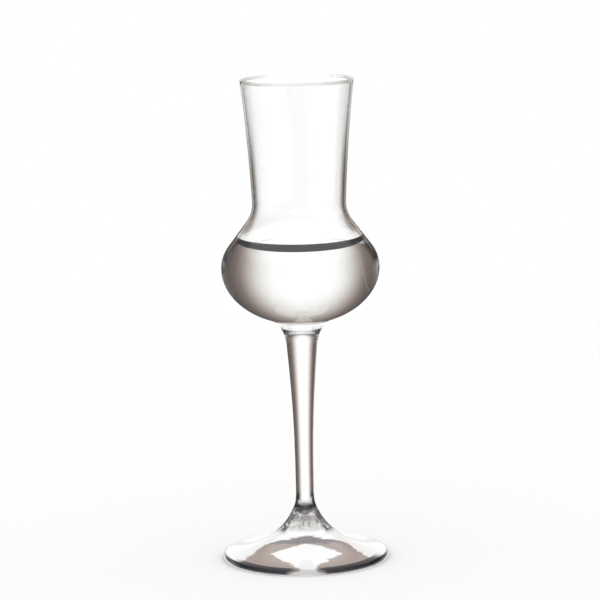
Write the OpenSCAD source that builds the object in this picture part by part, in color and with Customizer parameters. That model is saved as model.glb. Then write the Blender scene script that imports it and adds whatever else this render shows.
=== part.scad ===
// Grappa glass: a blown tulip bowl with a tall flared chimney, a drawn stem and a pressed foot,
// holding one measure of grappa.
// Bowl, stem and foot are three separate pieces of glass, fused hot at two flat welds.
// Every piece is turned about Z. The origin is on the table, under the middle of the foot.

/* [Chimney] */
// Height of the whole glass, from the table to the rim
glass_h = 168; // [164:0.5:176]
// Outer diameter of the rim
rim_d = 39.2; // [37:0.1:42]
// Thickness of the wall at the fire-polished rim
rim_wall = 0.9; // [0.8:0.1:1.3]
// Lean of the wall at the rim, in degrees from upright
rim_lean = 7.2; // [5:0.1:9]
// Outer diameter of the neck, the narrowest place of the bowl
neck_d = 32.4; // [31.4:0.1:33.4]
// Height of the neck
neck_z = 125; // [124:0.1:127]
// Thickness of the wall at the neck
neck_wall = 1.1; // [0.9:0.1:1.5]
// Lean of the wall where the chimney rises from the neck, in degrees
neck_lean = 2.5; // [1:0.1:4]
// Radius of the bend from the neck out to the shoulder
neck_bend_r = 10.6; // [9.6:0.1:11.6]

/* [Bulb] */
// Outer diameter of the bulb
bulb_d = 54.8; // [53:0.1:58]
// Height of the widest place of the bulb
bulb_z = 102.4; // [101.4:0.1:103]
// Radius of the shoulder, above the widest place
shoulder_r = 12.5; // [11.5:0.1:13.5]
// Depth of the bulb below its widest place
bulb_drop = 19.6; // [18.8:0.1:20.2]
// Thickness of the wall at the widest place
bulb_wall = 1.4; // [1.1:0.1:1.8]
// Thickness of the glass between the drink and the weld
base_t = 3.4; // [2.6:0.1:5]

/* [Stem] */
// Height of the weld between bowl and stem
stem_top_z = 81.4; // [81:0.1:81.8]
// Diameter of that weld
stem_top_d = 14.8; // [13.6:0.1:15.6]
// Lean of the flare at that weld, in degrees
stem_top_lean = 38; // [30:1:44]
// Height at which the flare leaves the shaft
collar_z = 73; // [71:0.5:75]
// Diameter of the shaft there
collar_d = 10.3; // [9.4:0.1:11]
// Lean of the shaft there, in degrees
collar_lean = 5; // [3:0.5:7]
// Height of the waist, the thinnest place of the stem
waist_z = 27; // [25:0.5:32]
// Diameter of the waist
waist_d = 6.3; // [5.6:0.1:7]
// Height of the weld between stem and foot
stem_foot_z = 17.9; // [17:0.1:19]
// Diameter of that weld
stem_foot_d = 7.8; // [7.2:0.1:8.6]
// Lean of the wall at that weld, in degrees
stem_foot_lean = 23; // [18:1:30]

/* [Foot] */
// Diameter of the foot
foot_d = 58; // [54:0.5:64]
// Thickness of the foot at its rounded edge
edge_t = 2; // [1.6:0.1:2.6]
// Slope of the upper face at the edge, in degrees
foot_slope = 8.5; // [6:0.5:12]
// Width of the flat ring that stands on the table
rest_ring_w = 2.5; // [2:0.5:5]
// Height of the hollow under the foot
hollow_h = 3.2; // [2.4:0.1:4]
// Slope of the hollow where it leaves that ring, in degrees
hollow_slope = 8; // [6:0.5:10]

/* [Drink] */
// Height of the drink's level face
drink_z = 109.6; // [106:0.1:111]
// Height that the drink climbs up the wall around its edge
meniscus_h = 3.6; // [2.4:0.1:4]
// Width of that climb, from the wall to the level face
meniscus_w = 2.4; // [1.8:0.1:3]

/* [Hidden] */
$fn = 96;
// Points on each curved stretch of an outline
steps = 24;
// Reach of the bends that blend one stretch into the next, as shares of the way between their ends
chimney_pull = 1 / 3;
underside_pull = 0.4;
// Reach of the bends of the stem and the foot
flare_top_pull = 3.5;
flare_low_pull = 1;
shaft_pull = 17;
waist_pull = 4;
ankle_pull = 2.5;
cone_pull = 7.5;
plate_pull = 16;
hollow_pull = 9;
dome_pull = 9;
// Angle round the bulb, below its widest place, at which the blend to the stem begins
underside_angle = 66;

bulb_r = bulb_d / 2;
edge_r = edge_t / 2;
cavity_z = stem_top_z + base_t;
drink_top_z = drink_z + meniscus_h;
rest_in_r = foot_d / 2 - edge_r - rest_ring_w;

// Centres of the bends, as radius and height
rim_c = [rim_d / 2 - rim_wall / 2, glass_h - rim_wall / 2];
neck_c = [neck_d / 2 + neck_bend_r, neck_z];
shoulder_c = [bulb_r - shoulder_r, bulb_z];
bulb_c = [0, bulb_z];
edge_c = [foot_d / 2 - edge_r, edge_r];

// Ends of the curves along the outline, as radius and height
stem_top = [stem_top_d / 2, stem_top_z];
collar = [collar_d / 2, collar_z];
waist = [waist_d / 2, waist_z];
stem_foot = [stem_foot_d / 2, stem_foot_z];
hollow_rim = [rest_in_r, 0];
hollow_top = [0, hollow_h];

// Direction of a wall that leans outward by that angle as it rises
function up(lean) = [sin(lean), cos(lean)];

// Points of a circular arc, both ends included
function arc(centre, r, from, to) =
    [for (i = [0:steps]) let (a = from + (to - from) * i / steps) centre + r * [cos(a), sin(a)]];

// Points of an oval below its widest place, which itself is left out
function oval_below(centre, across, down, to) =
    [for (i = [1:steps]) let (a = to * i / steps) centre + [across * cos(a), -down * sin(a)]];

// Points of a smooth curve from p to q by way of two handles, with q left out
function curve(p, p_handle, q_handle, q) =
    [for (i = [0:steps - 1]) let (t = i / steps, s = 1 - t)
        s * s * s * p + 3 * s * s * t * p_handle + 3 * s * t * t * q_handle + t * t * t * q];

function reversed(points) = [for (i = [len(points) - 1:-1:0]) points[i]];

// Angle at which a straight line leaves the neck's bend to run on into the shoulder
function shoulder_turn(bend_r, round_r) =
    let (way = shoulder_c - neck_c)
    360 + atan2(way.y, way.x) - acos((bend_r + round_r) / norm(way));

// The bowl's wall from the rim down to its widest place: inset is 0 on the outer face and 1 on the inner
function wall_down(inset) =
    let (
        bend_r = neck_bend_r + inset * neck_wall,
        round_r = shoulder_r - inset * bulb_wall,
        turn = shoulder_turn(bend_r, round_r),
        lip = rim_c + (0.5 - inset) * rim_wall * [cos(rim_lean), -sin(rim_lean)],
        neck = neck_c + bend_r * [-cos(neck_lean), sin(neck_lean)],
        pull = (lip.y - neck.y) * chimney_pull
    )
    concat(
        curve(lip, lip - pull * up(rim_lean), neck + pull * up(neck_lean), neck),
        arc(neck_c, bend_r, 180 - neck_lean, turn),
        arc(shoulder_c, round_r, turn - 180, 0));

// The bowl's outer face from the rim to the weld
function outer_face() =
    let (
        bulb = oval_below(bulb_c, bulb_r, bulb_drop, underside_angle),
        end = bulb[steps - 1],
        before = bulb[steps - 2],
        heading = (end - before) / norm(end - before),
        pull = norm(end - stem_top) * underside_pull,
        blend = curve(end, end + pull * heading, stem_top + pull * up(stem_top_lean), stem_top)
    )
    concat(wall_down(0), [for (i = [0:steps - 2]) bulb[i]], blend, [stem_top]);

// The bowl's inner face from the rim to the bottom of the hollow
function inner_face() =
    concat(wall_down(1), oval_below(bulb_c, bulb_r - bulb_wall, bulb_z - cavity_z, 90));

module turned(outline) {
    rotate_extrude() polygon(outline);
}

// Blown shell: chimney, neck, shoulder and bulb in one wall, thin at the rim and heavy at the base
module bowl() {
    rim = arc(rim_c, rim_wall / 2, 180 - rim_lean, -rim_lean);
    color("gainsboro", 0.4)
        turned(concat(
            [[0, stem_top_z]],
            reversed(inner_face()),
            [for (i = [1:steps - 1]) rim[i]],
            outer_face()));
}

// Drawn solid stem: a flare under the bowl, a slender waist, and a turn outward over the foot
module stem() {
    color("gainsboro", 0.4)
        turned(concat(
            [[0, stem_top_z]],
            curve(stem_top, stem_top - flare_top_pull * up(stem_top_lean),
                collar + flare_low_pull * up(collar_lean), collar),
            curve(collar, collar - shaft_pull * up(collar_lean), waist + shaft_pull * up(0), waist),
            curve(waist, waist - waist_pull * up(0), stem_foot + ankle_pull * up(-stem_foot_lean), stem_foot),
            [stem_foot, [0, stem_foot_z]]));
}

// Pressed foot: a steep cone under the stem runs out into a thin plate with a rounded edge,
// and the underside is a domed hollow inside a flat rest ring
module foot() {
    edge_top = edge_c + edge_r * up(foot_slope);
    cone_end = edge_top + plate_pull * [-cos(foot_slope), sin(foot_slope)];
    color("gainsboro", 0.4)
        turned(concat(
            [[0, stem_foot_z]],
            curve(stem_foot, stem_foot - cone_pull * up(-stem_foot_lean), cone_end, edge_top),
            arc(edge_c, edge_r, 90 - foot_slope, -90),
            curve(hollow_rim, hollow_rim + hollow_pull * [-cos(hollow_slope), sin(hollow_slope)],
                hollow_top + [dome_pull, 0], hollow_top),
            [hollow_top]));
}

// The grappa: it fills the bulb against the glass and climbs a little way up the wall around its edge
module grappa() {
    wall = inner_face();
    wall_r_at_height = [for (p = wall) if (p.y < neck_z) [p.y, p.x]];
    contact_r = lookup(drink_top_z, wall_r_at_height);
    climb_c = [contact_r - meniscus_w, drink_top_z];
    color("aliceblue", 0.5)
        turned(concat(
            [[0, drink_z]],
            reversed(oval_below(climb_c, meniscus_w, meniscus_h, 90)),
            [[contact_r, drink_top_z]],
            [for (p = wall) if (p.y < drink_top_z) p]));
}

bowl();
stem();
foot();
grappa();
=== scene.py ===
from math import degrees, pi, radians

import bpy
from mathutils import Matrix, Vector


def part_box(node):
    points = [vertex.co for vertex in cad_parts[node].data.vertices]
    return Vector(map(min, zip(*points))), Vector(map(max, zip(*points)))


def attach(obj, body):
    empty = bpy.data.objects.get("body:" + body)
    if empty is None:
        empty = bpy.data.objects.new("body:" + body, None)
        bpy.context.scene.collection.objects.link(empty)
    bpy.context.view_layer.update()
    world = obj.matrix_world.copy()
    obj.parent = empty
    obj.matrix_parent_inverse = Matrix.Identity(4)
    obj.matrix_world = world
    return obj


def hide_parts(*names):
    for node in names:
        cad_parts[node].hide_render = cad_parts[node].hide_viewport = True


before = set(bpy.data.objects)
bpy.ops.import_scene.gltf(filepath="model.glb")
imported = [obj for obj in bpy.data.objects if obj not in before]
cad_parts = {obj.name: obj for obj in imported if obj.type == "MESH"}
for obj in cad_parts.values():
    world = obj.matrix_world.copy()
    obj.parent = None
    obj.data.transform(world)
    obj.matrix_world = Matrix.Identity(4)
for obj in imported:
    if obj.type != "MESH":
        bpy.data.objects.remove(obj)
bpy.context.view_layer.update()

# Lengths are in metres and angles in degrees. A pair of numbers is a soft step, from nothing at the first
# number to all at the second. An ASLANT pair is measured from 0, seen square on, to 1, seen edge on.

# The camera, fitted to the ellipses of the rim, the drink and the foot
PHOTO_SIDE = 600
CAMERA_SIDEWAYS = -0.00035
CAMERA_DISTANCE = 1.0527
CAMERA_HEIGHT = 0.2633
CAMERA_PITCH = 9.297
CAMERA_ROLL = 1.177
FOCAL_PIXELS = 3076.3
SENSOR_MM = 36.0
CLIP_START = 0.01
# An unturned camera looks straight down, and after this turn it looks level
LEVEL_TURN = 90.0

# How finely the glass is turned
TURN_STEPS = 256
# The drink's skin stays this far off the wall, so that the two never lie in one another
DRINK_GAP = 0.00003
# Two points closer than this are one, and a face this near a weld's height lies in the weld
MERGE = 1e-6
ON_WELD = 1e-5
# Edges sharper than this stay crisp
CRISP_ANGLE = 40
# The upright share of a face's normal is at least this on a level face, and on a nearly level one
LEVEL_NORMAL = 0.9999
NEAR_LEVEL_NORMAL = 0.9
# The places of a piece's materials
FIRST, SECOND, THIRD = 0, 1, 2

# Refraction of the glass and of the drink. From the glass into the drink light bends by their ratio, and
# through a face with NO_BEND it goes straight on
GLASS_IOR = 1.51
GRAPPA_IOR = 1.36
WET_GLASS_IOR = GLASS_IOR / GRAPPA_IOR
NO_BEND = 1.0
GLASS_TINT = (0.995, 0.996, 0.994)
GRAPPA_TINT = (0.998, 0.997, 0.993)
# Faint upright striae that blowing and drawing leave in the glass: their tint, size and stretch along Z
STRIAE_TINT = (0.965, 0.976, 0.970)
STRIAE_SCALE = 220.0
STRIAE_STRETCH = 0.10
STRIAE_DETAIL = 3.0
STRIAE_RANGE = (0.40, 0.75)
# The drink is a trace deeper in colour in slow clouds
GRAPPA_DEEP_TINT = (0.985, 0.982, 0.972)
CLOUD_SCALE = 60.0
CLOUD_RANGE = (0.35, 0.70)

# The studio that the glass shows: a dim room with a white screen behind the glass, at this compass bearing
# clockwise from +Y
BACK_SCREEN = -1.5
# Bearings go from minus this to this
HALF_TURN = 180.0
# How far to each side and how high a screen stays white, and how softly it ends
SCREEN_HALF_WIDTH = 24.5
SCREEN_HALF_HEIGHT = 24.6
SCREEN_FADE = 4.5
WHITE = (1.0, 1.0, 1.0)
# The elevations between which the back screen fades in where the glass mirrors it
MIRRORED_SCREEN_FOOT = (2.0, 9.0)
# More screens that show through the glass from its other sides: bearing, and the elevations between which
# each one fades at its top and at its foot
SIDE_SCREENS = (
    (-90.0, (60.0, 50.0), (-90.0, -80.0)),
    (135.0, (60.0, 50.0), (-24.0, -20.0)),
    (-45.0, (-17.0, -21.0), (-90.0, -80.0)),
)
# The white ceiling begins above the screens
CEILING_START = (30.0, 42.0)
# A little over white, to make up for what the faces of the glass mirror away
SCREEN_WHITE = 1.15
# From the dim room to the white of a screen, by way of its warm half-shade
ROOM_TO_SCREEN = (
    (0.00, (0.070, 0.068, 0.065)),
    (0.20, (0.235, 0.190, 0.172)),
    (0.45, (0.487, 0.430, 0.402)),
    (0.72, (0.735, 0.710, 0.690)),
    (1.00, WHITE),
)

# The table, which lies a hair under the rest ring
TABLE_RADIUS = 0.5
TABLE_SIDES = 128
TABLE_DROP = 0.0002
# The table under the foot, as the foot shows it (X to the right, Y away from the front), with a painted
# shadow on it. The shade has this half width at the middle, flares forward, and tapers backward into a
# slender tip
SHADE_COLOUR = (0.45, 0.375, 0.34)
SHADE_HALF_WIDTH = 0.0132
SHADE_FLARE = 0.72
SHADE_TAPER = 1.9
SHADE_TIP = 0.0085
SHADE_TIP_TAPER = 0.85
SHADE_SOFTNESS = 0.0008
# A diamond of painted light parts the shade into two arms: forward from its tip it spreads, and then it
# narrows
LIT_TIP = 0.0006
LIT_SPREAD = 0.855
LIT_HALF_WIDTH = 0.0169
LIT_NARROWING = 0.57
# The outlines of both waver: size and detail of the waves, the middle of their values, and their reach
WAVER_SCALE = 300.0
WAVER_DETAIL = 3.0
WAVER_MIDDLE = 0.5
WAVER_REACH = 0.0060
# Close behind the middle the painted shade is deeper
HUB_SHADE = (0.28, 0.26, 0.27)
HUB_SHADE_BACK = (-0.0002, 0.0012)
HUB_SHADE_SIDE = (0.0118, 0.0095)
# A painted shadow line lies under the front edge, with a gap in the middle, and reaches further back at the
# right
FRONT_EDGE_PAINTED_SHADOW = (0.050, 0.050, 0.066)
FRONT_EDGE_RING = (0.0240, 0.0252)
FRONT_EDGE_START = (0.0070, 0.0140)
FRONT_EDGE_SKEW = 0.08
FRONT_EDGE_GAP = (0.0026, 0.0060)
# Beyond this the glass shows the studio in place of the table
NEAR_TABLE = (0.0400, 0.0440)

# The foot's edge gets painted shade: distance from the axis where it starts, and a paler gap at the middle
# of the front and the back
FOOT_EDGE_START = (0.0279, 0.0283)
FOOT_EDGE_PAINTED_SHADE = (0.012, 0.012, 0.018)
FOOT_EDGE_ASLANT = (0.95, 0.66)
FOOT_EDGE_GAP = (0.0015, 0.0075)
FOOT_EDGE_GAP_SHADE = 0.6
# At a glancing angle the thin plate is clear and mirrors nothing, up to this height
PLATE_ASLANT = (0.80, 0.88)
PLATE_TOP = (0.0095, 0.0075)
# The cone under the stem has painted shade, grey in three tones, by height
CONE_START = (0.0101, 0.0111)
CONE_LOW_PAINTED_SHADE = (0.62, 0.60, 0.57)
CONE_MIDDLE_START = (0.0124, 0.0142)
CONE_MIDDLE_PAINTED_SHADE = (0.20, 0.193, 0.186)
CONE_TOP_START = (0.0152, 0.0162)
CONE_TOP_PAINTED_SHADE = (0.90, 0.88, 0.86)
# Its sides have darker painted shade, and start lower
CONE_SIDE_START = (0.0086, 0.0105)
CONE_SIDE_ASLANT = (0.28, 0.45)
CONE_SIDE_PAINTED_SHADE = (0.022, 0.020, 0.019)
# Higher up the sides are wider, as if they were seen this much more aslant
CONE_WIDE_SIDE_START = (0.0135, 0.0160)
CONE_WIDE_SIDE = 0.2
# Fine twisted streaks of darker painted shade run over the cone, and break up its dark sides
STREAK_START = (0.0098, 0.0135)
STREAK_PAINTED_SHADE = (0.060, 0.056, 0.052)
STREAK_SCALE = 520.0
STREAK_DETAIL = 4.0
STREAK_TWIST = 1.2
STREAK_RANGE = (0.42, 0.62)
SIDE_STREAK_RANGE = (0.30, 0.52)
# A ring of painted shade lies at the lower weld, above it on the stem and below it on the foot, higher at
# the sides
WELD_RING_PAINTED_SHADE = (0.010, 0.010, 0.010)
WELD_RING_START = (0.0170, 0.0176)
STEM_RING = (0.0215, 0.0185)
STEM_RING_SIDE = (0.0250, 0.0215)
STEM_RING_ASLANT = (0.10, 0.35)
# Painted shade on the stem's collar under the bowl, where it is seen aslant
COLLAR_START = (0.0786, 0.0794)
COLLAR_ASLANT = (0.10, 0.50)
COLLAR_PAINTED_SHADE = (0.020, 0.021, 0.028)

# Painted shade on the chimney's edge where it is seen aslant, and the heights between which it fades in and
# out
CHIMNEY_ASLANT = (0.46, 0.60)
CHIMNEY_FOOT = (0.1140, 0.1172)
CHIMNEY_TOP = (0.1600, 0.1350)
CHIMNEY_PAINTED_SHADE = (0.26, 0.23, 0.21)
# Painted shade on the shoulder's edge, darker still, down to the widest place of the bulb
SHOULDER_ASLANT = (0.52, 0.70)
SHOULDER_FOOT = (0.1030, 0.1065)
SHOULDER_TOP = (0.1145, 0.1125)
SHOULDER_PAINTED_SHADE = (0.025, 0.023, 0.022)
# Just above the weld the bowl has run into the stem so smoothly that hardly any outline shows there
WELD_CLEAR = (0.0842, 0.0836)
WELD_CLEARNESS = 0.85
# The seam of that weld glows up through the base of the bowl: painted light, a white emission
SEAM_PAINTED_GLOW = 0.85
# The fire-polished lip is thin and round, and its soft grey line is painted shade in its colour
LIP_START = (0.1668, 0.1671)
LIP_OUTER_PAINTED_SHADE = (0.68, 0.68, 0.65)
LIP_INNER_PAINTED_SHADE = (0.90, 0.90, 0.89)
LIP_CLEARNESS = 0.7

# How far the drink climbs the wall above its level
MENISCUS = 0.0036
# The strip of wall behind that raised edge: how far below the level it starts, and how far above the
# contact line it ends
STRIP_FOOT = (0.0026, 0.0008)
STRIP_TOP = (0.0008, 0.0004)
# Painted shade on the raised edge, seen from within: how far above the level it starts, and how much of it
# is dark
EDGE_START = (0.0001, 0.0004)
EDGE_DARK = 0.96
EDGE_PAINTED_SHADE = (0.036, 0.033, 0.037)
# From the air side the drink's thin border hardly shows: distance from the axis where it starts
THIN_BORDER = (0.0165, 0.0180)

# At this blend, Layer Weight's Facing is 1 less the cosine of the angle between the view and the normal
FACING_BLEND = 0.5
# A Mix node has sockets of one name for each kind of value: these are the places of those for colours
MIX_FIRST, MIX_SECOND, MIX_RESULT = 6, 7, 2
# How often light may go through the glass, and be mirrored in it
THROUGH_BOUNCES = 32
MIRROR_BOUNCES = 16


class Shade:
    """A node's output in Python arithmetic: each operator adds one Math node to its tree."""

    def __init__(self, tree, socket):
        self.tree = tree
        self.socket = socket

    @classmethod
    def node(cls, tree, kind, settings=None, inputs=None, output=0):
        """Adds a node with its settings or a ramp's stops, fills its sockets and wraps one output."""
        made = tree.nodes.new(kind)
        for name, value in (settings or {}).items():
            if name == "stops":
                set_stops(made.color_ramp.elements, value)
            else:
                setattr(made, name, value)
        for name, value in (inputs or {}).items():
            if isinstance(value, Shade):
                tree.links.new(value.socket, made.inputs[name])
            else:
                made.inputs[name].default_value = value
        return cls(tree, made.outputs[output])

    def math(self, operation, *values):
        """One Math node, with this output first among its values."""
        inputs = dict(enumerate((self, *values)))
        return Shade.node(self.tree, "ShaderNodeMath", {"operation": operation}, inputs)

    def __add__(self, other):
        return self.math("ADD", other)

    def __radd__(self, other):
        return self.math("ADD", other)

    def __sub__(self, other):
        return self.math("SUBTRACT", other)

    def __rsub__(self, other):
        return Shade.node(self.tree, "ShaderNodeMath", {"operation": "SUBTRACT"}, {0: other, 1: self})

    def __mul__(self, other):
        return self.math("MULTIPLY", other)

    def __rmul__(self, other):
        return self.math("MULTIPLY", other)

    def __truediv__(self, other):
        return self.math("DIVIDE", other)

    def __rtruediv__(self, other):
        return Shade.node(self.tree, "ShaderNodeMath", {"operation": "DIVIDE"}, {0: other, 1: self})

    def __pow__(self, other):
        return self.math("POWER", other)

    def rise(self, start, end):
        """A soft step from 0 at start to 1 at end."""
        return Shade.node(self.tree, "ShaderNodeMapRange", {"interpolation_type": "SMOOTHSTEP"},
                          {"Value": self, "From Min": start, "From Max": end})


def rgba(colour):
    """A colour as a socket takes it, with full alpha."""
    return (*colour, 1.0)


def set_stops(stops, places_and_colours):
    """Fills a new ramp, whose first and last stops are at 0 and 1 already."""
    for place, _ in places_and_colours[1:-1]:
        stops.new(place)
    for stop, (_, colour) in zip(stops, places_and_colours):
        stop.color = rgba(colour)


def new_material(name):
    """A material and its empty tree."""
    material = bpy.data.materials.new(name)
    material.use_nodes = True
    material.node_tree.nodes.clear()
    return material, material.node_tree


def show(tree, shader, kind="ShaderNodeOutputMaterial"):
    """Ends a tree in its output node."""
    output = tree.nodes.new(kind)
    tree.links.new(shader.socket, output.inputs["Surface"])


def mix_shader(tree, factor, first, second):
    return Shade.node(tree, "ShaderNodeMixShader", {}, {0: factor, 1: first, 2: second})


def mix_colour(tree, factor, first, second):
    """Mixes two colours, each of them a Shade or three numbers."""
    ends = [end if isinstance(end, Shade) else rgba(end) for end in (first, second)]
    inputs = {0: factor, MIX_FIRST: ends[0], MIX_SECOND: ends[1]}
    return Shade.node(tree, "ShaderNodeMix", {"data_type": "RGBA"}, inputs, output=MIX_RESULT)


def object_place(tree):
    return Shade.node(tree, "ShaderNodeTexCoord", output="Object")


def along(tree, place, axes):
    """The coordinates of a place along each of the named axes."""
    split = Shade.node(tree, "ShaderNodeSeparateXYZ", {}, {"Vector": place}).socket.node
    return [Shade(tree, split.outputs[axis]) for axis in axes]


def height_of(tree, place):
    return Shade.node(tree, "ShaderNodeSeparateXYZ", {}, {"Vector": place}, output="Z")


def distance(tree, place):
    return Shade.node(tree, "ShaderNodeVectorMath", {"operation": "LENGTH"}, {0: place}, output="Value")


def scaled_height(tree, place, share):
    """A place with this share of its height."""
    inputs = {0: place, 1: (1.0, 1.0, share)}
    return Shade.node(tree, "ShaderNodeVectorMath", {"operation": "MULTIPLY"}, inputs)


def out_from_axis(tree, place):
    """The distance of a place from the axis of the glass."""
    return distance(tree, scaled_height(tree, place, 0.0))


def noise(tree, place, scale, **more):
    """Noise over a place, with values for more of the node's sockets by name."""
    return Shade.node(tree, "ShaderNodeTexNoise", {}, {"Vector": place, "Scale": scale, **more})


def seen_from_within(tree):
    """1 where a face is seen from inside its piece, and 0 where light leaves it towards the viewer."""
    return Shade.node(tree, "ShaderNodeNewGeometry", output="Backfacing")


def seen_aslant(tree):
    """0 on a face seen square on, and 1 on one seen edge on."""
    return Shade.node(tree, "ShaderNodeLayerWeight", {}, {"Blend": FACING_BLEND}, output="Facing")


def through_ray(tree):
    """1 for what is seen through the glass."""
    return Shade.node(tree, "ShaderNodeLightPath", output="Is Transmission Ray")


def glass_ray(tree):
    """1 for what is seen in the glass, by reflection or refraction, and 0 for everything else."""
    mirrored = Shade.node(tree, "ShaderNodeLightPath", output="Is Glossy Ray")
    return mirrored.math("MAXIMUM", through_ray(tree))


def glass_tint(tree):
    """The colour of the glass, with its faint upright striae."""
    drawn = scaled_height(tree, object_place(tree), STRIAE_STRETCH)
    striae = noise(tree, drawn, STRIAE_SCALE, Detail=STRIAE_DETAIL)
    return mix_colour(tree, striae.rise(*STRIAE_RANGE), GLASS_TINT, STRIAE_TINT)


def grappa_tint(tree):
    """The colour of the drink, with its slow clouds."""
    clouds = noise(tree, object_place(tree), CLOUD_SCALE)
    return mix_colour(tree, clouds.rise(*CLOUD_RANGE), GRAPPA_TINT, GRAPPA_DEEP_TINT)


def clear_body(tree, ior, base_colour):
    """A shader that bends light and takes a tint."""
    return Shade.node(tree, "ShaderNodeBsdfPrincipled", {}, {
        "Base Color": base_colour,
        "Roughness": 0.0,
        "IOR": ior,
        "Transmission Weight": 1.0,
    })


def nothing_to_see(tree):
    return Shade.node(tree, "ShaderNodeBsdfPrincipled", {}, {"Alpha": 0.0})


def straight_material(name, tint_of):
    """A clear face that lets light straight through, with the tint that a function adds to its tree."""
    material, tree = new_material(name)
    show(tree, clear_body(tree, NO_BEND, tint_of(tree)))
    return material


def weld_material():
    """The inside of a weld, where two pieces of glass have run together and nothing is left to see."""
    material, tree = new_material("weld")
    show(tree, nothing_to_see(tree))
    return material


def seam_material():
    """The weld under the bowl: clear from the stem, and a painted white glow from within the bowl's base.
    """
    material, tree = new_material("weld_seam")
    # Painted light: a white glow where the seam is seen from within
    painted_glow = Shade.node(tree, "ShaderNodeEmission", {}, {"Color": rgba(WHITE), "Strength": 1.0})
    show(tree, mix_shader(tree, seen_from_within(tree) * SEAM_PAINTED_GLOW, nothing_to_see(tree), painted_glow))
    return material


def behind_edge(height, level, contact):
    """Marks the strip of wall behind the drink's raised edge. On the far side it bends no light."""
    above_foot = (level - height).rise(*STRIP_FOOT)
    below_top = (height - contact).rise(*STRIP_TOP)
    return above_foot * below_top


def inner_wall_material(level, contact):
    """The bowl's inner face: wet glass below the drink's level and dry glass above it.

    Between the level and the contact line it is wet only from the glass side, where the drink's edge shows.
    """
    material, tree = new_material("inner_wall")
    base_colour = glass_tint(tree)
    dry, wet, straight = (clear_body(tree, ior, base_colour) for ior in (GLASS_IOR, WET_GLASS_IOR, NO_BEND))
    height = height_of(tree, object_place(tree))
    from_glass = seen_from_within(tree)
    under_edge = height.math("LESS_THAN", contact) * from_glass
    under_drink = height.math("LESS_THAN", level).math("MAXIMUM", under_edge)
    wall = mix_shader(tree, under_drink, dry, wet)
    far_side = behind_edge(height, level, contact) * (1.0 - from_glass)
    wall = mix_shader(tree, far_side, wall, straight)
    # Painted shade: the grey line on the lip's inner face
    lip = clear_body(tree, NO_BEND, rgba(LIP_INNER_PAINTED_SHADE))
    show(tree, mix_shader(tree, height.rise(*LIP_START) * LIP_CLEARNESS, wall, lip))
    return material


def outer_wall_material(level, contact):
    """The bowl's outer face: painted shade on shoulder and chimney edges, clear at the weld, and at the lip
    with a painted grey line.
    """
    material, tree = new_material("outer_wall")
    height = height_of(tree, object_place(tree))
    aslant = seen_aslant(tree)
    from_glass = seen_from_within(tree)
    plain = glass_tint(tree)
    # Painted shade: the colour turns dark where chimney and shoulder are seen aslant
    chimney = aslant.rise(*CHIMNEY_ASLANT) * height.rise(*CHIMNEY_FOOT) * height.rise(*CHIMNEY_TOP)
    shoulder = aslant.rise(*SHOULDER_ASLANT) * height.rise(*SHOULDER_FOOT) * height.rise(*SHOULDER_TOP)
    base_colour = mix_colour(tree, chimney, plain, CHIMNEY_PAINTED_SHADE)
    base_colour = mix_colour(tree, shoulder, base_colour, SHOULDER_PAINTED_SHADE)
    lip = height.rise(*LIP_START)
    # Painted shade: the grey line on the lip's outer face
    clear_base_colour = mix_colour(tree, lip * (1.0 - from_glass), plain, LIP_OUTER_PAINTED_SHADE)
    clearness = height.rise(*WELD_CLEAR) * WELD_CLEARNESS + lip * LIP_CLEARNESS
    clearness = clearness + behind_edge(height, level, contact) * from_glass
    body = clear_body(tree, GLASS_IOR, base_colour)
    clear = clear_body(tree, NO_BEND, clear_base_colour)
    show(tree, mix_shader(tree, clearness, body, clear))
    return material


def stem_material():
    """Clear glass, with painted shade where it meets the foot and at the sides of its collar under the
    bowl.
    """
    material, tree = new_material("stem_glass")
    height = height_of(tree, object_place(tree))
    aslant = seen_aslant(tree)
    leaves = 1.0 - seen_from_within(tree)
    # Painted shade on the collar's sides
    collar = height.rise(*COLLAR_START) * aslant.rise(*COLLAR_ASLANT)
    # Painted shade in a ring above the lower weld, higher where the stem is seen aslant
    painted_shade_ring_sides = height.rise(*STEM_RING_SIDE) * aslant.rise(*STEM_RING_ASLANT)
    painted_shade_ring = height.rise(*STEM_RING).math("MAXIMUM", painted_shade_ring_sides)
    base_colour = mix_colour(tree, collar * leaves, glass_tint(tree), COLLAR_PAINTED_SHADE)
    base_colour = mix_colour(tree, painted_shade_ring * leaves, base_colour, WELD_RING_PAINTED_SHADE)
    show(tree, clear_body(tree, GLASS_IOR, base_colour))
    return material


def cone_painted_shade(tree, place, height, sides):
    """The painted shade of the cone under the stem: grey, with its streaks and dark sides."""
    streaks = noise(tree, place, STREAK_SCALE, Detail=STREAK_DETAIL, Distortion=STREAK_TWIST)
    # Painted shade: grey tones by height, darker streaks and darker sides
    grey = mix_colour(tree, height.rise(*CONE_MIDDLE_START), CONE_LOW_PAINTED_SHADE, CONE_MIDDLE_PAINTED_SHADE)
    grey = mix_colour(tree, height.rise(*CONE_TOP_START), grey, CONE_TOP_PAINTED_SHADE)
    grey = mix_colour(tree, streaks.rise(*STREAK_RANGE) * height.rise(*STREAK_START), grey, STREAK_PAINTED_SHADE)
    return mix_colour(tree, sides * streaks.rise(*SIDE_STREAK_RANGE), grey, CONE_SIDE_PAINTED_SHADE)


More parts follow.
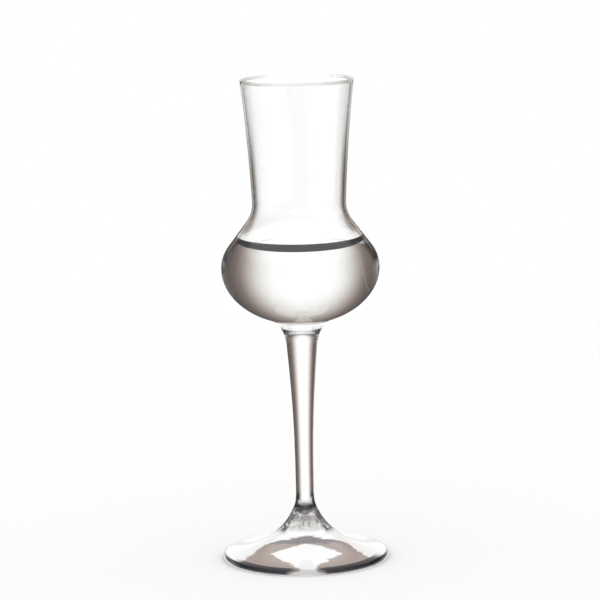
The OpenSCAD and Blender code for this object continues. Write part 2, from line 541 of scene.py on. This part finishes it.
def foot_material():
    """Clear glass with painted shade: a dark edge that pales at the middle of front and back, and a grey
    streaked cone.
    """
    material, tree = new_material("foot_glass")
    place = object_place(tree)
    x, height = along(tree, place, "XZ")
    aslant = seen_aslant(tree)
    from_glass = seen_from_within(tree)
    leaves = 1.0 - from_glass
    plain = glass_tint(tree)
    widening = height.rise(*CONE_WIDE_SIDE_START) * CONE_WIDE_SIDE
    sides = (aslant + widening).rise(*CONE_SIDE_ASLANT)
    cone = height.rise(*CONE_START).math("MAXIMUM", sides * height.rise(*CONE_SIDE_START))
    # Painted shade on the cone
    base_colour = mix_colour(tree, cone * leaves, plain, cone_painted_shade(tree, place, height, sides))
    # Painted shade in a ring below the lower weld
    base_colour = mix_colour(tree, height.rise(*WELD_RING_START) * leaves, base_colour, WELD_RING_PAINTED_SHADE)
    # Painted shade on the rounded edge, paler in the gap at the middle of front and back
    rounding = out_from_axis(tree, place).rise(*FOOT_EDGE_START)
    off_gap = x.math("ABSOLUTE").rise(*FOOT_EDGE_GAP).math("MAXIMUM", FOOT_EDGE_GAP_SHADE)
    edge = rounding * aslant.rise(*FOOT_EDGE_ASLANT) * off_gap * leaves
    base_colour = mix_colour(tree, edge, base_colour, FOOT_EDGE_PAINTED_SHADE)
    glancing = aslant.rise(*PLATE_ASLANT) * height.rise(*PLATE_TOP) * leaves * (1.0 - rounding)
    clearness = rounding * from_glass + glancing
    body = clear_body(tree, GLASS_IOR, base_colour)
    straight = clear_body(tree, NO_BEND, plain)
    show(tree, mix_shader(tree, clearness, body, straight))
    return material


def grappa_material(level):
    """Clear spirit, with painted shade on its raised edge against the wall where it is seen from within the
    drink.
    """
    material, tree = new_material("grappa")
    base_colour = grappa_tint(tree)
    clear, thin = (clear_body(tree, ior, base_colour) for ior in (GRAPPA_IOR, NO_BEND))
    # Painted shade: a dark emission on the raised edge
    painted_dark = Shade.node(tree, "ShaderNodeEmission", {}, {"Color": rgba(EDGE_PAINTED_SHADE), "Strength": 1.0})
    place = object_place(tree)
    inside = seen_from_within(tree)
    border = out_from_axis(tree, place).rise(*THIN_BORDER) * (1.0 - inside)
    edge = (height_of(tree, place) - level).rise(*EDGE_START)
    skin = mix_shader(tree, border, clear, thin)
    show(tree, mix_shader(tree, edge * inside * EDGE_DARK, skin, painted_dark))
    return material


def select_only(piece):
    bpy.ops.object.select_all(action="DESELECT")
    piece.select_set(True)
    bpy.context.view_layer.objects.active = piece


def turned_again(node_name, piece_name):
    """The node's own half outline, cut from a copy of its solid and spun finely into a smooth skin."""
    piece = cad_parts[node_name].copy()
    piece.data = piece.data.copy()
    piece.name = piece.data.name = piece_name
    piece.parent = None
    piece.data.materials.clear()
    bpy.context.collection.objects.link(piece)
    select_only(piece)
    bpy.ops.object.mode_set(mode="EDIT")
    bpy.ops.mesh.select_mode(type="VERT")
    bpy.ops.mesh.select_all(action="SELECT")
    bpy.ops.mesh.remove_doubles(threshold=MERGE)
    bpy.ops.mesh.bisect(plane_co=(0, 0, 0), plane_no=(0, 1, 0), clear_inner=True, clear_outer=True,
                        threshold=MERGE)
    bpy.ops.mesh.select_all(action="SELECT")
    bpy.ops.mesh.bisect(plane_co=(0, 0, 0), plane_no=(1, 0, 0), clear_inner=True, threshold=MERGE)
    bpy.ops.mesh.select_all(action="SELECT")
    bpy.ops.mesh.remove_doubles(threshold=MERGE)
    bpy.ops.mesh.select_all(action="SELECT")
    bpy.ops.mesh.spin(steps=TURN_STEPS, angle=2 * pi, center=(0, 0, 0), axis=(0, 0, 1))
    bpy.ops.mesh.select_all(action="SELECT")
    bpy.ops.mesh.remove_doubles(threshold=MERGE)
    bpy.ops.mesh.normals_make_consistent(inside=False)
    bpy.ops.object.mode_set(mode="OBJECT")
    bpy.ops.object.shade_smooth_by_angle(angle=radians(CRISP_ANGLE))
    return piece


def finish_piece(piece, node_name, slot, *materials):
    for material in materials:
        piece.data.materials.append(material)
    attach(piece, "root")
    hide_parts(node_name)


def mark_faces(piece, index, wanted):
    """Gives the faces that a test picks one of the piece's materials, by its place among them."""
    for face in piece.data.polygons:
        if wanted(face):
            face.material_index = index


def mark_welds(piece, *heights):
    """Gives the flat faces at these heights the piece's second material."""
    def on_weld(face):
        level = abs(face.normal.z) > LEVEL_NORMAL
        return level and any(abs(face.center.z - height) < ON_WELD for height in heights)

    mark_faces(piece, SECOND, on_weld)


def faces_axis(face):
    """True for a face that looks inward, at the axis of the glass."""
    return face.center.x * face.normal.x + face.center.y * face.normal.y < 0


def inside_bowl(face):
    return faces_axis(face) or face.normal.z > NEAR_LEVEL_NORMAL


def under_foot(face):
    return face.normal.z < -NEAR_LEVEL_NORMAL


def against_wall(face):
    return not faces_axis(face) and face.normal.z < NEAR_LEVEL_NORMAL


def glass_pieces():
    weld = weld_material()
    stem_low, stem_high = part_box("stem")
    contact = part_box("grappa")[1][2]
    level = contact - MENISCUS
    bowl = turned_again("bowl", "blown_bowl")
    stem = turned_again("stem", "drawn_stem")
    foot = turned_again("foot", "pressed_foot")
    outer_wall = outer_wall_material(level, contact)
    inner_wall = inner_wall_material(level, contact)
    finish_piece(bowl, "bowl", "clear_glass", outer_wall, seam_material(), inner_wall)
    finish_piece(stem, "stem", "clear_glass", stem_material(), weld)
    # The underside bends no light, so that the foot shows the table in its true place
    underside = straight_material("foot_underside", glass_tint)
    finish_piece(foot, "foot", "clear_glass", foot_material(), weld, underside)
    mark_faces(foot, THIRD, under_foot)
    mark_faces(bowl, THIRD, inside_bowl)
    mark_welds(bowl, stem_high[2])
    mark_welds(stem, stem_low[2], stem_high[2])
    mark_welds(foot, stem_low[2])


def grappa_piece():
    drink = turned_again("grappa", "grappa_fill")
    faces = drink.data.polygons
    wet_side = [against_wall(face) for face in faces]
    level = max(face.center.z for face in faces if face.normal.z > LEVEL_NORMAL)
    # Only the wet side is drawn in from the wall
    select_only(drink)
    bpy.ops.object.mode_set(mode="EDIT")
    bpy.ops.mesh.select_mode(type="FACE")
    bpy.ops.mesh.select_all(action="DESELECT")
    bpy.ops.object.mode_set(mode="OBJECT")
    for face, wet in zip(drink.data.polygons, wet_side):
        face.select = wet
    bpy.ops.object.mode_set(mode="EDIT")
    bpy.ops.transform.shrink_fatten(value=-DRINK_GAP)
    bpy.ops.object.mode_set(mode="OBJECT")
    # The wall's wet face bends the light for both, so the drink's own wet side lets it straight through
    at_wall = straight_material("grappa_at_wall", grappa_tint)
    finish_piece(drink, "grappa", "grappa", grappa_material(level), at_wall)
    for face, wet in zip(drink.data.polygons, wet_side):
        face.material_index = SECOND if wet else FIRST


def screen(bearing, elevation, middle):
    """A white screen that stands at a bearing and ends softly at its sides and its top, from 0 to 1."""
    apart = (bearing - middle).math("WRAP", HALF_TURN, -HALF_TURN)
    above = elevation.math("MAXIMUM", 0.0)
    off = (apart / SCREEN_HALF_WIDTH) ** 2.0 + (above / SCREEN_HALF_HEIGHT) ** 2.0
    return 1.0 / (1.0 + off ** (SCREEN_FADE / 2.0))


def screens_seen(bearing, elevation, through):
    """How much of a white screen is seen in a direction, from 0 to 1: through is 1 for refracted light."""
    back = screen(bearing, elevation, BACK_SCREEN)
    seen = back * through.math("MAXIMUM", elevation.rise(*MIRRORED_SCREEN_FOOT))
    for middle, top, foot in SIDE_SCREENS:
        side = screen(bearing, elevation, middle) * elevation.rise(*top) * elevation.rise(*foot)
        seen = seen.math("MAXIMUM", side * through)
    return seen


def studio_world():
    """White all round, apart from what the glass shows: its screens, the ceiling and the dim room."""
    world = bpy.data.worlds.new("studio")
    bpy.context.scene.world = world
    world.use_nodes = True
    tree = world.node_tree
    tree.nodes.clear()
    direction = Shade.node(tree, "ShaderNodeTexCoord", output="Generated")
    x, y, z = along(tree, direction, "XYZ")
    bearing = x.math("ARCTAN2", y) * degrees(1)
    elevation = z.math("ARCSINE") * degrees(1)
    seen = screens_seen(bearing, elevation, through_ray(tree))
    tone = Shade.node(tree, "ShaderNodeValToRGB", {"stops": ROOM_TO_SCREEN}, {"Fac": seen})
    gain = 1.0 + seen * (SCREEN_WHITE - 1.0)
    lit = Shade.node(tree, "ShaderNodeVectorMath", {"operation": "SCALE"}, {0: tone, "Scale": gain})
    room = mix_colour(tree, elevation.rise(*CEILING_START), lit, WHITE)
    colour = mix_colour(tree, glass_ray(tree), WHITE, room)
    back = Shade.node(tree, "ShaderNodeBackground", {}, {"Color": colour, "Strength": 1.0})
    show(tree, back, "ShaderNodeOutputWorld")


def painted_shade_under_foot(tree, place, away):
    """The painted shadow and light that the foot shows of the table under it."""
    right, back = along(tree, place, "XY")
    aside = right.math("ABSOLUTE")
    waves = noise(tree, place, WAVER_SCALE, Detail=WAVER_DETAIL)
    waver = (waves - WAVER_MIDDLE) * WAVER_REACH
    # Painted shadow with a painted lit diamond in it
    flare = SHADE_FLARE * back.math("MINIMUM", 0.0) + SHADE_TAPER * back.math("MAXIMUM", 0.0)
    half_width = (SHADE_HALF_WIDTH - flare).math("MAXIMUM", SHADE_TIP - SHADE_TIP_TAPER * back)
    shaded = (half_width - aside + waver).rise(-SHADE_SOFTNESS, SHADE_SOFTNESS)
    behind = LIT_TIP - back - LIT_SPREAD * aside + waver
    within = LIT_HALF_WIDTH - aside + LIT_NARROWING * back + waver
    lit = behind.math("MINIMUM", within).rise(-SHADE_SOFTNESS, SHADE_SOFTNESS)
    hub = (back + waver).rise(*HUB_SHADE_BACK) * (aside + waver).rise(*HUB_SHADE_SIDE)
    tone = mix_colour(tree, hub, SHADE_COLOUR, HUB_SHADE)
    colour = mix_colour(tree, shaded * (1.0 - lit), WHITE, tone)
    # Painted shadow line under the front edge
    front = (right * FRONT_EDGE_SKEW - back).rise(*FRONT_EDGE_START)
    painted_shade_ring = away.rise(*FRONT_EDGE_RING) * front * aside.rise(*FRONT_EDGE_GAP)
    return mix_colour(tree, painted_shade_ring, colour, FRONT_EDGE_PAINTED_SHADOW)


def table():
    """A white table top. The glass shows a painted shadow under the foot on it, and the studio beyond that.
    """
    bpy.ops.object.select_all(action="DESELECT")
    bpy.ops.mesh.primitive_circle_add(vertices=TABLE_SIDES, radius=TABLE_RADIUS, fill_type="NGON",
                                      location=(0, 0, -TABLE_DROP))
    top = bpy.context.object
    top.name = "white_table"
    material, tree = new_material("white_table")
    paper = Shade.node(tree, "ShaderNodeBsdfDiffuse", {}, {"Color": rgba(WHITE)})
    through = Shade.node(tree, "ShaderNodeBsdfTransparent")
    place = object_place(tree)
    away = distance(tree, place)
    # An emission paints the shadow that only the glass shows
    painted_shadow = Shade.node(tree, "ShaderNodeEmission", {}, {"Color": painted_shade_under_foot(tree, place, away)})
    in_glass = mix_shader(tree, away.rise(*NEAR_TABLE), painted_shadow, through)
    show(tree, mix_shader(tree, glass_ray(tree), paper, in_glass))
    top.data.materials.append(material)


def camera():
    data = bpy.data.cameras.new("camera")
    data.sensor_width = SENSOR_MM
    data.lens = FOCAL_PIXELS / PHOTO_SIDE * SENSOR_MM
    data.clip_start = CLIP_START
    eye = bpy.data.objects.new("camera", data)
    bpy.context.collection.objects.link(eye)
    eye.location = (CAMERA_SIDEWAYS, -CAMERA_DISTANCE, CAMERA_HEIGHT)
    pitch = Matrix.Rotation(radians(LEVEL_TURN - CAMERA_PITCH), 3, "X")
    roll = Matrix.Rotation(radians(-CAMERA_ROLL), 3, "Z")
    eye.rotation_euler = (pitch @ roll).to_euler()
    bpy.context.scene.camera = eye


glass_pieces()
grappa_piece()
studio_world()
table()
camera()

scene = bpy.context.scene
scene.view_settings.view_transform = "Standard"
scene.cycles.max_bounces = THROUGH_BOUNCES
scene.cycles.transmission_bounces = THROUGH_BOUNCES
scene.cycles.transparent_max_bounces = THROUGH_BOUNCES
scene.cycles.glossy_bounces = MIRROR_BOUNCES
